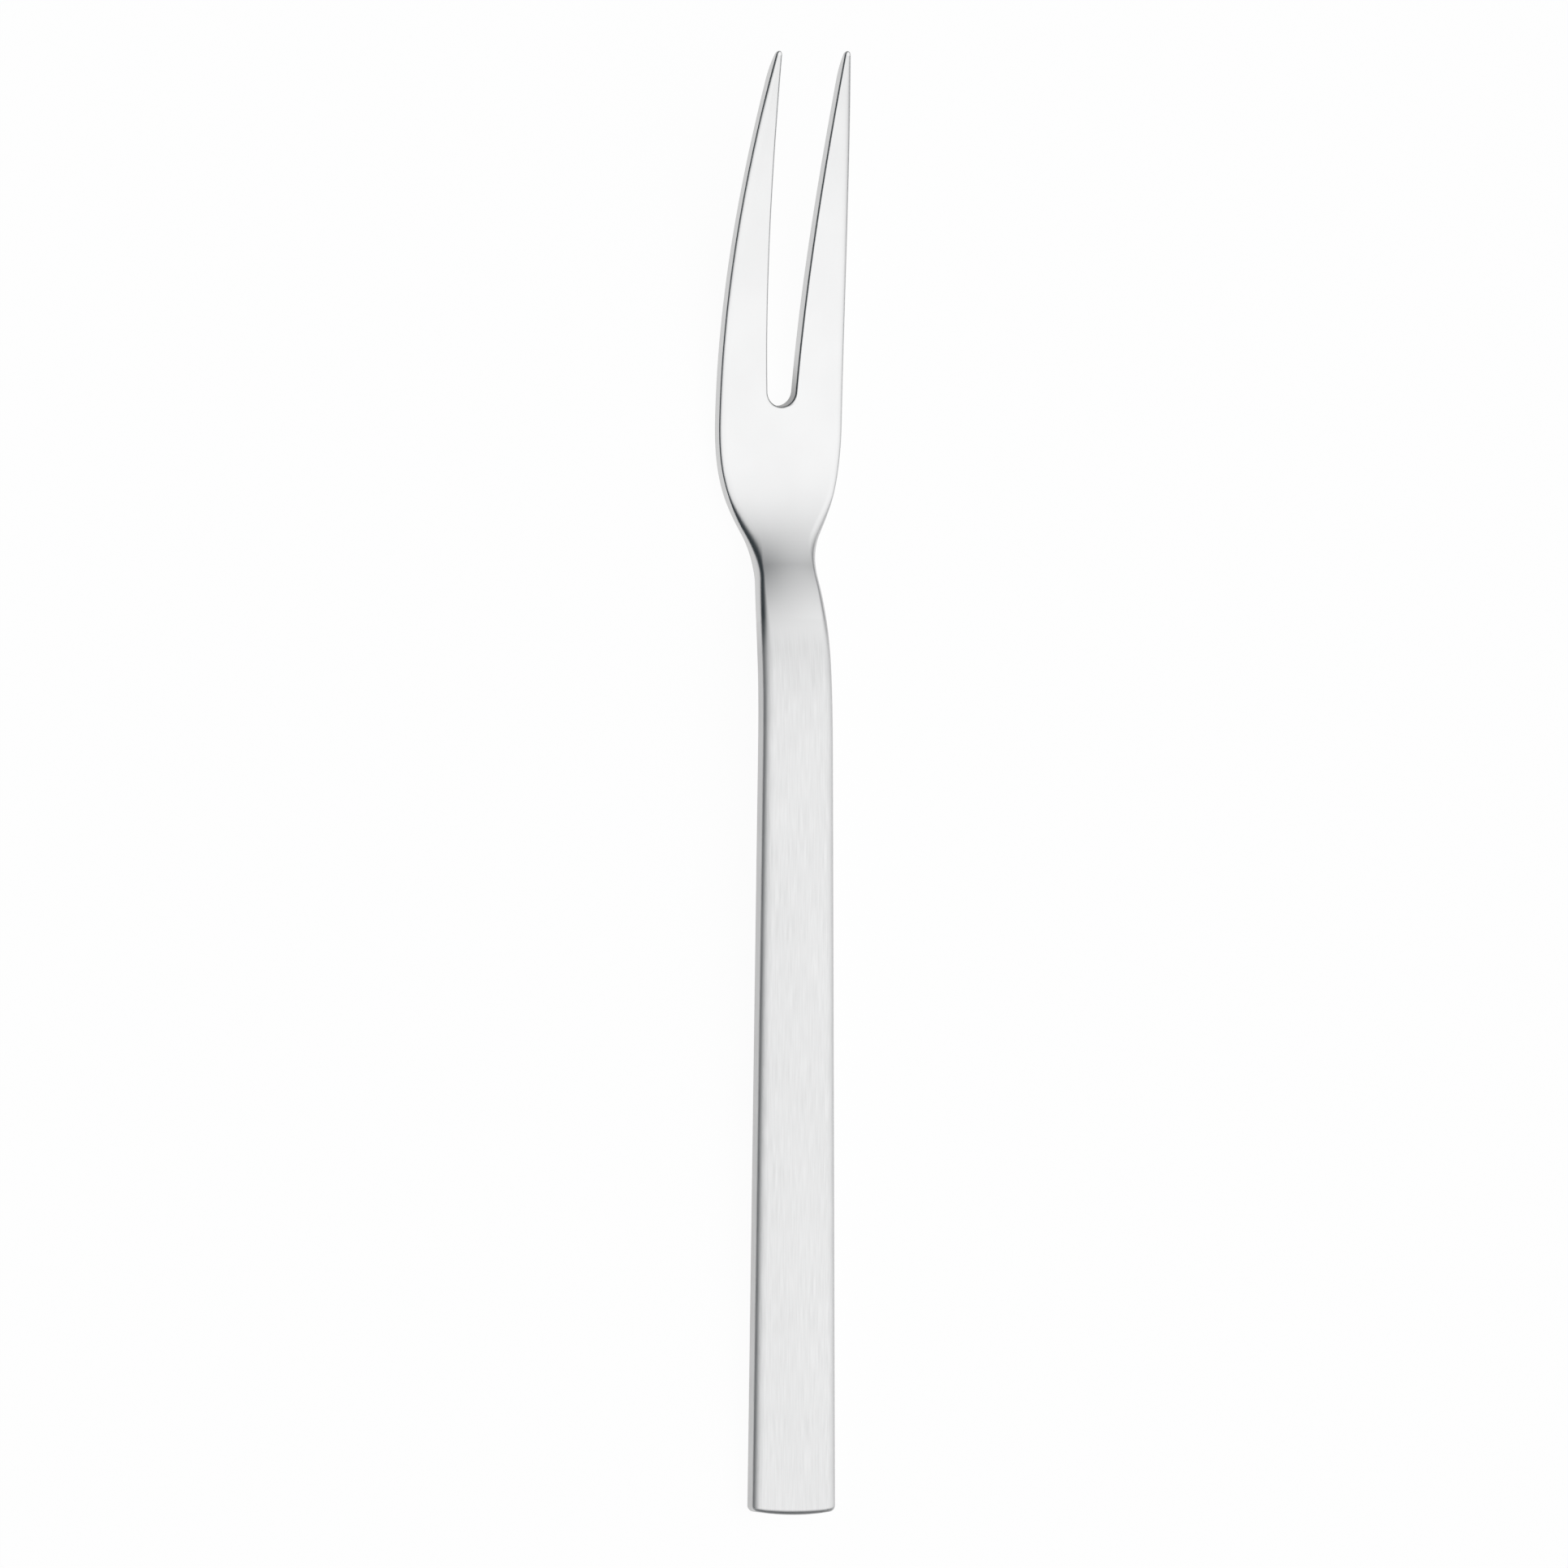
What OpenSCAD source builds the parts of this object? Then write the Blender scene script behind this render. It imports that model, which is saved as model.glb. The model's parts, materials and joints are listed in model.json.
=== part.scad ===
// Two-tine meat fork, cut and pressed from one bar of stainless steel.
// It lies on a table with its tines up: X is across the fork, Y runs from the
// handle end to the tine tips and Z is up. Sizes are in millimetres, angles in degrees.

/* [Overall] */
// Length from the handle end to the tine tips, along the line of the handle
fork_len = 205; // [170:1:250]
// Width of the head where it is widest
head_w = 18.5; // [15:0.1:24]
// How far the head lies below the line of the handle
head_drop = 7.9; // [5:0.1:12]

/* [Handle] */
// Width at the handle end
handle_end_w = 12.55; // [9:0.05:16]
// Width where the straight taper stops
handle_w = 10.4; // [8:0.1:14]
// Thickness of the straight handle
handle_t = 3.1; // [2:0.1:4]
// How far the top falls from its middle to its sides
handle_crown = 0.12; // [0:0.02:0.4]
// Radius of the two end corners, seen from above
corner_r = 1.0; // [0.5:0.1:3]
// How far the end bows out between its corners
end_bow = 0.4; // [0.1:0.05:2]
// Length over which that bow fades out
bow_len = 4; // [2:0.5:10]
// Width of the rounding along the two sides
handle_edge_w = 1.6; // [0.4:0.1:2.5]
// Height of the rounding along the two sides
handle_edge_h = 0.7; // [0.3:0.05:1]
// Width of the rounding along the end
end_edge_w = 0.9; // [0.3:0.05:1.5]
// Height of the rounding along the end
end_edge_h = 0.45; // [0.2:0.05:0.6]

/* [Neck] */
// Width at the narrowest place
neck_w = 8.95; // [6:0.05:12]
// Thickness at the narrowest place
neck_t = 3.0; // [2.2:0.1:4.5]
// How far the neck's top falls from its middle to its sides
neck_crown = 0.5; // [0:0.05:0.8]
// Radius of the waist, seen from above
waist_r = 10.5; // [5:0.5:20]
// Slope of the edges that draw in to the waist
draw_angle = 7; // [4:0.5:15]
// Slope of the edges that spread from the waist to the head
flare_angle = 29.5; // [15:0.5:40]
// Steepest fall between the handle and the head, seen from the side
neck_slope = 25; // [10:0.5:35]
// Radius of the bend where that fall runs out into the head
heel_r = 36; // [12:0.5:50]
// Width of the rounding at the narrowest place
neck_edge_w = 0.8; // [0.3:0.05:2]
// Height of the rounding at the narrowest place
neck_edge_h = 0.8; // [0.2:0.05:1.4]
// Width of the rounding where the edges spread to the head
flare_edge_w = 1.8; // [0.3:0.05:2.5]
// Height of the rounding where the edges spread to the head
flare_edge_h = 0.9; // [0.2:0.05:1.4]

/* [Head and tines] */
// Thickness of the head
head_t = 2.15; // [1.6:0.05:3]
// Depth of the slot from the tine tips
slot_len = 49.8; // [35:0.1:60]
// Radius of the slot's round bottom
slot_r = 2.1; // [1.2:0.05:3]
// Slope of the slot's sides to the middle line
slot_flare = 3.1; // [1:0.1:4]
// Thickness of each tine where its point begins
tine_t = 1.75; // [1.3:0.05:2.5]
// Thickness of each tine at its tip
tip_t = 0.6; // [0.4:0.05:1.6]
// Width that each tine would have at its tip, without its rounded nose
tip_w = 0.9; // [0.6:0.05:2]
// Length of the rounded nose, seen from above
nose_len = 0.6; // [0.2:0.1:4]
// Length of the point that thins to the tip
tip_len = 4.5; // [2:0.5:10]
// Height of the tips above the lowest part of the head
tip_rise = 12; // [6:0.1:20]
// Upward slope of the tines at their tips
tip_slope = 19.5; // [10:0.5:30]
// Width of the rounding along the slot
slot_edge_w = 0.4; // [0.2:0.05:1]
// Width of the rounding along the outer edges
head_edge_w = 1.2; // [0.2:0.05:1.5]
// Height of the rounding along all these edges
head_edge_h = 0.35; // [0.15:0.05:0.5]

/* [Lengths between places, from the slot back to the handle] */
// From the slot's bottom to where the head is widest
to_widest = 2.2; // [2:0.1:8]
// From there to where the head lies lowest
to_low = 4.7; // [2:0.1:8]
// From there to where the flat head becomes the neck
to_neck = 4.8; // [3:0.1:8]
// From there to where the neck is narrowest
to_waist = 10.8; // [6:0.1:14]
// From there to where the bright neck becomes the satin handle
to_handle = 7.2; // [5:0.1:14]
// From there to where the straight taper of the handle stops
to_taper = 7; // [3:0.5:14]
// From there to where the handle starts to bend down
to_bend = 14; // [6:0.5:24]

/* [Hidden] */
// The regions of the fork, each a solid that meets its neighbours face to face
steel = [0.72, 0.73, 0.74];
bright = [0.82, 0.83, 0.84];

// Stations: distances from the handle end
slot_at = fork_len - slot_len;
slot_mid = slot_at + slot_r;
point_at = fork_len - tip_len;
widest_at = slot_at - to_widest;
low_at = widest_at - to_low;
head_at = low_at - to_neck;
waist_at = head_at - to_waist;
neck_at = waist_at - to_handle;
taper_at = neck_at - to_taper;
bend_at = taper_at - to_bend;

// Half the slot's width at a station: round at its bottom, then straight sides
slot_straight = slot_mid - slot_r * sin(slot_flare);
function slot_half(s) =
    s >= slot_straight ? slot_r / cos(slot_flare) + (s - slot_mid) * tan(slot_flare)
    : sqrt(max(0, slot_r * slot_r - (slot_mid - s) * (slot_mid - s)));

// Curves as rows of [station, value, angle]: each passes its values at those angles
taper = atan((handle_w - handle_end_w) / 2 / taper_at);
tip_half = slot_half(fork_len) + tip_w;
flare_at = waist_at + waist_r * sin(flare_angle);
HALF_WIDTH = [
    [0, handle_end_w / 2, taper],
    [taper_at, handle_w / 2, taper],
    [waist_at - waist_r * sin(draw_angle), neck_w / 2 + waist_r * (1 - cos(draw_angle)), -draw_angle],
    [waist_at, neck_w / 2, 0],
    [flare_at, neck_w / 2 + waist_r * (1 - cos(flare_angle)), flare_angle],
    [widest_at, head_w / 2, 0],
    [fork_len, tip_half, 2 * atan((tip_half - head_w / 2) / (fork_len - widest_at))],
];
TOP_LINE = [
    [0, 0, 0],
    [bend_at, 0, 0],
    [low_at - heel_r * sin(neck_slope), heel_r * (1 - cos(neck_slope)) - head_drop, -neck_slope],
    [low_at, -head_drop, 0],
    [fork_len, tip_rise - head_drop, tip_slope],
];
THICKNESS = [
    [0, handle_t, 0],
    [bend_at, handle_t, 0],
    [waist_at, neck_t, 0],
    [head_at, head_t, 0],
    [slot_at, head_t, 0],
    [point_at, tine_t, 0],
    [fork_len, tip_t, -2 * atan((tine_t - tip_t) / tip_len)],
];
EDGE_W = [
    [0, handle_edge_w, 0],
    [taper_at, handle_edge_w, 0],
    [waist_at, neck_edge_w, 0],
    [flare_at, flare_edge_w, 0],
    [head_at, head_edge_w, 0],
    [fork_len, head_edge_w, 0],
];
EDGE_H = [
    [0, handle_edge_h, 0],
    [taper_at, handle_edge_h, 0],
    [waist_at, neck_edge_h, 0],
    [flare_at, flare_edge_h, 0],
    [head_at, head_edge_h, 0],
    [fork_len, head_edge_h, 0],
];
CROWN = [
    [0, handle_crown, 0],
    [taper_at, handle_crown, 0],
    [waist_at, neck_crown, 0],
    [head_at, 0, 0],
    [fork_len, 0, 0],
];

// Value and slope of such a curve at a station
function row_of(rows, s, i = 0) =
    i >= len(rows) - 2 || s <= rows[i + 1][0] ? i : row_of(rows, s, i + 1);
function value(rows, s) =
    let (i = row_of(rows, s), p = rows[i], q = rows[i + 1])
    let (d = q[0] - p[0], f = (s - p[0]) / d, g = 1 - f)
    p[1] * (1 + 2 * f) * g * g + q[1] * f * f * (3 - 2 * f)
    + d * f * g * (tan(p[2]) * g - tan(q[2]) * f);
function slope(rows, s) =
    let (i = row_of(rows, s), p = rows[i], q = rows[i + 1])
    let (d = q[0] - p[0], f = (s - p[0]) / d, g = 1 - f)
    atan(6 * f * g * (q[1] - p[1]) / d + tan(p[2]) * g * (1 - 3 * f) + tan(q[2]) * f * (3 * f - 2));

// A point at x across the fork and a depth under its top surface
function below(x, s, depth) =
    let (a = slope(TOP_LINE, s))
    [x, s + depth * sin(a), value(TOP_LINE, s) - depth * cos(a)];

// The fork rests on the back of its head and on its handle end, with the middle of its
// outline over the origin
head_rest = below(0, low_at - 1, head_t);
end_rest = below(0, end_edge_w, handle_t);
lean = atan((end_rest[2] - head_rest[2]) / (head_rest[1] - end_rest[1]));
function leant(p) =
    [p[0], p[1] * cos(lean) - p[2] * sin(lean), p[1] * sin(lean) + p[2] * cos(lean)];
floor_z = min([for (s = concat([end_edge_w], [for (k = [-4 : 0.25 : 4]) low_at + k]))
    leant(below(0, s, value(THICKNESS, s)))[2]]);
first_y = leant(below(0, 0, handle_edge_h))[1];
last_y = leant(below(0, fork_len, tip_t - head_edge_h))[1];
function lay(p) = leant(p) - [0, (first_y + last_y) / 2, floor_z];

// Share of a rounding of width w that applies at a distance d from its edge
function near(d, w) = max(0, 1 - d / w);
// Places across such a rounding, counted from the edge
function edge_steps(w) = [for (k = [0 : 4]) w * (1 - cos(22.5 * k))];
// Fall of the surface, as a share of the rounding's height
function fall(q) = 1 - sqrt(max(0, 1 - q * q));
// Share that applies where two roundings meet
function both(p, q) = sqrt(p * p + q * q - p * p * q * q);
// Stations from one to another, both included
function run(from, to, count) = [for (k = [0 : count]) from + (to - from) * k / count];

// A section through the fork: points along its top and points along its back.
// Each place is [x, station, share of the rounding there].
function section(places, edge_h) = [
    for (back = [false, true]) [
        for (p = places)
            let (t = value(THICKNESS, p[1]), h = min(edge_h, 0.4 * t), e = h * fall(min(1, p[2])))
            let (c = value(CROWN, p[1]) * pow(p[0] / value(HALF_WIDTH, p[1]), 2))
            lay(below(p[0], p[1], back ? t - e : e + c))
    ]
];

// A closed solid through a list of sections. From section open_from on, the two middle
// columns stand apart and leave a slot, and before it they are one line.
module loft(sections, open_from) {
    rows = len(sections);
    cols = len(sections[0][0]);
    mid = is_undef(open_from) ? -1 : cols / 2;
    spans = [for (j = [0 : cols - 2]) if (j != mid - 1) j];
    function id(i, j, back) = (2 * i + back) * cols + (j == mid && i <= open_from ? j - 1 : j);
    function sheet(i, j, b) = [id(i, j, b), id(i + 1, j, b), id(i + 1, j + 1, b), id(i, j + 1, b)];
    function wall(i, j) = [id(i, j, 0), id(i, j, 1), id(i + 1, j, 1), id(i + 1, j, 0)];
    function cap(i, j) = [id(i, j, 0), id(i, j + 1, 0), id(i, j + 1, 1), id(i, j, 1)];
    function turned(f) = [f[3], f[2], f[1], f[0]];
    quads = concat(
        [for (i = [0 : rows - 2], j = spans) sheet(i, j, 0)],
        [for (i = [0 : rows - 2], j = spans) turned(sheet(i, j, 1))],
        [for (i = [0 : rows - 2]) wall(i, 0)],
        [for (i = [0 : rows - 2]) turned(wall(i, cols - 1))],
        [for (i = [0 : rows - 2]) if (mid > 0 && i >= open_from) turned(wall(i, mid - 1))],
        [for (i = [0 : rows - 2]) if (mid > 0 && i >= open_from) wall(i, mid)],
        [for (j = spans) cap(0, j)],
        [for (j = spans) turned(cap(rows - 1, j))]
    );
    polyhedron(
        points = [for (s = sections) each concat(s[0], s[1])],
        faces = [for (f = quads) each [[f[0], f[1], f[2]], [f[0], f[2], f[3]]]]
    );
}

// Places across the full width: the rounding of both edges, and between them a few on the flat
function across(s, half) =
    let (w = value(EDGE_W, s), n = edge_steps(w))
    concat(
        [for (k = [0 : 4]) [n[k] - half, s, near(n[k], w)]],
        [for (k = [-1 : 1]) [k * (half - w) / 2, s, 0]],
        [for (k = [4 : -1 : 0]) [half - n[k], s, near(n[k], w)]]
    );
function plain_section(s) = section(across(s, value(HALF_WIDTH, s)), value(EDGE_H, s));

// Section near the handle end: the corners draw it in, the end bends down evenly
// and its line bows out
function end_section(s) =
    let (full = value(HALF_WIDTH, s), c = near(s, corner_r))
    let (half = full - corner_r * fall(c), bow = end_bow * near(s, bow_len))
    let (left = 1 - end_edge_h / handle_edge_h * pow(near(s, end_edge_w), 2), q = sqrt(1 - left * left))
    section(
        [for (p = across(s, half))
            [p[0], s + bow * p[0] * p[0] / (half * half), both(p[2], q)]],
        handle_edge_h
    );

// Section of the head on the way to the slot, whose round bottom is rounded like an edge
function head_section(s) =
    let (half = value(HALF_WIDTH, s), w = value(EDGE_W, s), from = slot_half(max(s, slot_at)))
    let (n = edge_steps(slot_edge_w), m = edge_steps(w))
    let (right = concat(
        [for (d = concat(n, [2 * slot_edge_w, 4 * slot_edge_w])) from + d],
        [for (k = [4 : -1 : 0]) half - m[k]]
    ))
    let (side = [for (x = right)
        let (gap = s < slot_straight ? norm([x, slot_mid - s]) - slot_r : x - from)
        [x, s, both(near(half - x, w), near(gap, slot_edge_w))]])
    section(
        concat([for (k = [len(side) - 1 : -1 : 0]) [-side[k][0], s, side[k][2]]], side),
        value(EDGE_H, s)
    );

// Section of one tine, whose nose is round from above and from the side
function tine_section(s, hand) =
    let (inner = slot_half(s), outer = value(HALF_WIDTH, s))
    let (f = max(0, s - fork_len + nose_len) / nose_len, round = sqrt(1 - 0.94 * f * f))
    let (half = (outer - inner) / 2 * round)
    let (v = min(slot_edge_w, 0.9 * half), w = min(value(EDGE_W, s), 0.9 * half))
    let (n = edge_steps(v), m = edge_steps(w))
    let (side = concat(
        [for (k = [0 : 4]) [n[k] - half, near(n[k], v)]],
        [for (k = [4 : -1 : 0]) [half - m[k], near(m[k], w)]]
    ))
    section(
        [for (k = [0 : len(side) - 1])
            let (p = side[hand > 0 ? k : len(side) - 1 - k])
            [hand * ((inner + outer) / 2 + p[0]), s, both(p[1], f)]],
        value(EDGE_H, s)
    );

module handle() {
    ends = [for (k = [0 : 5]) corner_r * (1 - cos(18 * k))];
    color(steel) loft(concat(
        [for (s = concat(ends, [bow_len])) end_section(s)],
        [for (s = run(bend_at, neck_at, 12)) plain_section(s)]
    ));
}

module neck() {
    color(bright) loft([for (s = run(neck_at, head_at, 16)) plain_section(s)]);
}

module head_root() {
    flat = run(head_at, slot_at - slot_edge_w, 8);
    lip = [for (k = [1 : 4]) slot_at - slot_edge_w * (1 - sin(22.5 * k))];
    round = [for (k = [1 : 6]) slot_mid - slot_r * cos(k * (90 - slot_flare) / 6)];
    color(bright) loft(
        [for (s = concat(flat, lip, round, [slot_mid])) head_section(s)],
        len(flat) + len(lip) - 1
    );
}

module tine(hand) {
    blade = run(slot_mid, fork_len - nose_len, 22);
    tip = [for (k = [1 : 6]) fork_len - nose_len * (1 - sin(15 * k))];
    color(bright) loft([for (s = concat(blade, tip)) tine_section(s, hand)]);
}

module left_tine() {
    tine(-1);
}

module right_tine() {
    tine(1);
}

handle();
neck();
head_root();
left_tine();
right_tine();
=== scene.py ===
"""Two-tine meat fork of stainless steel: fine meshes, steel finishes, floor, light and camera."""

import json
import math
from collections import namedtuple

import bpy
from mathutils import Matrix, Vector

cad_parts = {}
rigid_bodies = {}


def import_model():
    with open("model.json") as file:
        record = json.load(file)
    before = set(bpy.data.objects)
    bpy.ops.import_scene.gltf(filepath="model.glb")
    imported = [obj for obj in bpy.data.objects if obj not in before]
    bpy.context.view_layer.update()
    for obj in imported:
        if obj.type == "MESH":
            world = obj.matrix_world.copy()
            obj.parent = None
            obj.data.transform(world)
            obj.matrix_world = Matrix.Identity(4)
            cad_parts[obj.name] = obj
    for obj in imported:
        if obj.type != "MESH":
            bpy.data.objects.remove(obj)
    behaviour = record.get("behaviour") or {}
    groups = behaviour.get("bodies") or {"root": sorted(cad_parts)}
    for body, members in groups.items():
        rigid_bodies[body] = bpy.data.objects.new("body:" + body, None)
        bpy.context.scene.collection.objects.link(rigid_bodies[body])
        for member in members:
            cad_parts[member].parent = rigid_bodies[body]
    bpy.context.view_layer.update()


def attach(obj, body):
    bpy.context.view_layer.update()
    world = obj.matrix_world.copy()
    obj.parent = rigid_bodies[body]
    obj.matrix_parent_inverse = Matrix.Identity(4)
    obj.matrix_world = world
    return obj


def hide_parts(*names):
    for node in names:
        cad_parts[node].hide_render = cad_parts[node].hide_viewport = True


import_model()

bl_info = {
    "name": "Meat Fork",
    "version": (1, 0, 0),
    "blender": (4, 5, 0),
    "location": "3D View > Sidebar > Meat Fork",
    "description": "Builds a two-tine meat fork with a satin handle and a bright head",
    "category": "Add Mesh",
}

MM = 0.001
# Name of the map that runs across and along the steel, in metres
GRAIN_MAP = "grain"
# Name of the value that says how far a place lies into the rounding of an edge
EDGE_VALUE = "edge"
# Name of the value that says how far it lies into the rounding along the slot; it marks the slot's
# walls for painted shade and more roughness
SLOT_SHADE_VALUE = "cut"
# The back uses another stretch of the grain than the top
BACK_GRAIN = 60 * MM
# Steps of the meshes: across a rounded edge, across the flat between two edges
EDGE_STEPS = 12
FLAT_STEPS = 10
# Steps along the fork: bowed end, straight handle, bend, neck, flat of the head, slot bottom, tine
BOW_STEPS = 8
STRAIGHT_STEPS = 24
BEND_STEPS = 40
NECK_STEPS = 64
HEAD_STEPS = 28
SLOT_STEPS = 24
TINE_STEPS = 80
# The head rests this far before its lowest place; the lowest point is sought this far to either side
HEAD_REST = 1 * MM
REST_REACH = 4 * MM
REST_STEPS = 32
# Most of the thickness, and of a tine's half width, that a rounding may take
MOST_OF_THICKNESS = 0.4
MOST_OF_TINE = 0.9
# Share of the square of its width that a tine loses in its round nose
NOSE_LOSS = 0.94
# Steepest side line that the round corners of the handle end are given
STEEPEST_CORNER = 60
# Keeps a divisor away from zero
TINY = 1e-6
# Noise stays mostly between these two values
NOISE_LOW = 0.3
NOISE_HIGH = 0.7
# Detail of the noise for brush streaks, and for hair lines and patches
STREAK_DETAIL = 3.0
PATCH_DETAIL = 2.0
# Share of the streaks in the satin and of the hair lines in the polish; patches are the rest
STREAK_SHARE = 0.8
HAIR_SHARE = 0.15
# How much longer than wide the patches of the satin are
SATIN_PATCH_STRETCH = 3
# How far into a rounding the edges begin to be smoother, and the slot's walls to take painted shade and
# more roughness
WEAR_FROM = 0.2
SLOT_SHADE_FROM = 0.5
# Width of the camera's sensor in millimetres
SENSOR = 36
# The camera sees from its distance divided by this to its distance times this
CLIP_RANGE = 100


def length(title, about, millimetres):
    """A length that a user can change, written in millimetres and kept in metres."""
    return bpy.props.FloatProperty(
        name=title, description=about, default=millimetres * MM, unit="LENGTH", precision=5
    )


def angle(title, about, degrees):
    """An angle that a user can change, written in degrees and kept in radians."""
    return bpy.props.FloatProperty(
        name=title, description=about, default=math.radians(degrees), unit="ROTATION"
    )


def share(title, about, default):
    """A share from 0 to 1 that a user can change."""
    return bpy.props.FloatProperty(
        name=title, description=about, default=default, min=0, max=1, subtype="FACTOR", precision=4
    )


def amount(title, about, default):
    """A plain number from 0 up that a user can change."""
    return bpy.props.FloatProperty(name=title, description=about, default=default, min=0, precision=4)


def colour(title, about, default):
    """A colour that a user can change."""
    return bpy.props.FloatVectorProperty(
        name=title, description=about, default=default, size=3, min=0, max=1, subtype="COLOR"
    )


class MeatForkSizes(bpy.types.PropertyGroup):
    """Sizes of the fork."""

    fork_len: length("Fork length", "From the handle end to the tine tips", 205)
    head_w: length("Head width", "Width of the head where it is widest", 18.5)
    head_drop: length("Head drop", "How far the head lies below the line of the handle", 7.9)
    handle_end_w: length("Handle end width", "Width at the handle end", 12.55)
    handle_w: length("Handle width", "Width where the straight taper stops", 10.4)
    handle_t: length("Handle thickness", "Thickness of the straight handle", 3.1)
    handle_crown: length("Handle crown", "How far the top falls from its middle to its sides", 0.12)
    corner_r: length("Corner radius", "Radius of the two end corners, seen from above", 1.0)
    end_bow: length("End bow", "How far the end bows out between its corners", 0.4)
    bow_len: length("Bow length", "Length over which that bow fades out", 4)
    handle_edge_w: length("Handle edge width", "Width of the rounding along the two sides", 1.6)
    handle_edge_h: length("Handle edge height", "Height of the rounding round the handle", 0.7)
    end_edge_w: length("End edge width", "Width of the rounding along the end", 0.9)
    end_edge_h: length("End edge height", "Height of the rounding along the end", 0.45)
    neck_w: length("Neck width", "Width at the narrowest place", 8.95)
    neck_t: length("Neck thickness", "Thickness at the narrowest place", 3.0)
    neck_crown: length("Neck crown", "How far the neck's top falls from its middle to its sides", 0.5)
    waist_r: length("Waist radius", "Radius of the waist, seen from above", 10.5)
    draw_angle: angle("Draw angle", "Slope of the edges that draw in to the waist", 7)
    flare_angle: angle("Flare angle", "Slope of the edges that spread to the head", 29.5)
    neck_slope: angle("Neck slope", "Steepest fall between the handle and the head", 25)
    heel_r: length("Heel radius", "Radius of the bend where that fall runs out", 36)
    neck_edge_w: length("Neck edge width", "Width of the rounding at the narrowest place", 0.8)
    neck_edge_h: length("Neck edge height", "Height of the rounding at the narrowest place", 0.8)
    flare_edge_w: length("Flare edge width", "Width of the rounding where the neck spreads", 1.8)
    flare_edge_h: length("Flare edge height", "Height of the rounding where the neck spreads", 0.9)
    head_t: length("Head thickness", "Thickness of the head", 2.15)
    slot_len: length("Slot length", "Depth of the slot from the tine tips", 49.8)
    slot_r: length("Slot radius", "Radius of the slot's round bottom", 2.1)
    slot_flare: angle("Slot flare", "Slope of the slot's sides to the middle line", 3.1)
    tine_t: length("Tine thickness", "Thickness of each tine where its point begins", 1.75)
    tip_t: length("Tip thickness", "Thickness of each tine at its tip", 0.6)
    tip_w: length("Tip width", "Width that each tine would have without its rounded nose", 0.9)
    nose_len: length("Nose length", "Length of the rounded nose, seen from above", 0.6)
    tip_len: length("Point length", "Length of the point that thins to the tip", 4.5)
    tip_rise: length("Tip rise", "Height of the tips above the lowest part of the head", 12)
    tip_slope: angle("Tip slope", "Upward slope of the tines at their tips", 19.5)
    slot_edge_w: length("Slot edge width", "Width of the rounding along the slot", 0.4)
    head_edge_w: length("Head edge width", "Width of the rounding along the outer edges", 1.2)
    head_edge_h: length("Head edge height", "Height of the rounding along all these edges", 0.35)
    to_widest: length("Slot to widest", "From the slot's bottom to the widest place", 2.2)
    to_low: length("Widest to lowest", "From there to where the head lies lowest", 4.7)
    to_neck: length("Lowest to neck", "From there to where the head becomes the neck", 4.8)
    to_waist: length("Neck to waist", "From there to the narrowest place", 10.8)
    to_handle: length("Waist to handle", "From there to where the neck becomes the handle", 7.2)
    to_taper: length("Handle to taper", "From there to where the straight taper stops", 7)
    to_bend: length("Taper to bend", "From there to where the handle starts to bend", 14)


class MeatForkFinish(bpy.types.PropertyGroup):
    """Colours and finish of the steel."""

    steel_colour: colour("Steel", "Colour of the steel", (0.6, 0.6, 0.6))
    satin_shade: amount("Satin shade", "Light that the satin sends back beside the polish", 1.016)
    satin_roughness: share("Satin roughness", "Roughness of the brushed handle", 0.42)
    satin_stray: share("Satin stray", "How far the streaks change that roughness", 0.04)
    bright_roughness: share("Bright roughness", "Roughness of the polished neck and head", 0.3)
    bright_stray: share("Bright stray", "How far the patches change that roughness", 0.015)
    satin_stretch: share("Satin stretch", "How much the brushing stretches highlights", 0.6)
    streak_w: length("Streak width", "Width of the brush streaks", 0.16)
    streak_len: length("Streak length", "Length of the brush streaks", 5)
    streak_depth: length("Streak depth", "Depth of the brush streaks", 0.0012)
    streak_tint: share("Streak tint", "How much lighter and darker the streaks are", 0.04)
    hair_depth: length("Hair line depth", "Depth of the hair lines in the polish", 0.00018)
    patch_len: length("Patch size", "Size of the faint patches in the steel", 9)
    patch_tint: share("Patch tint", "How much lighter and darker the patches are", 0.01)
    finish_fade: length("Finish fade", "Length over which the satin gives way to the polish", 5)
    edge_polish: share("Edge polish", "How much smoother handling has made the edges", 0.03)
    # Painted shade on the walls near the slot's bottom, which are also made rougher there
    painted_slot_shade: share("Cut shade", "Light that the slot's bottom sends back beside the polish", 0.55)
    cut_roughness: share("Cut roughness", "How much rougher the slot's bottom is than the polish", 0.3)
    slot_shade_fade: length("Cut fade", "Length over which the slot's walls become as bright as the rest", 8)


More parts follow.
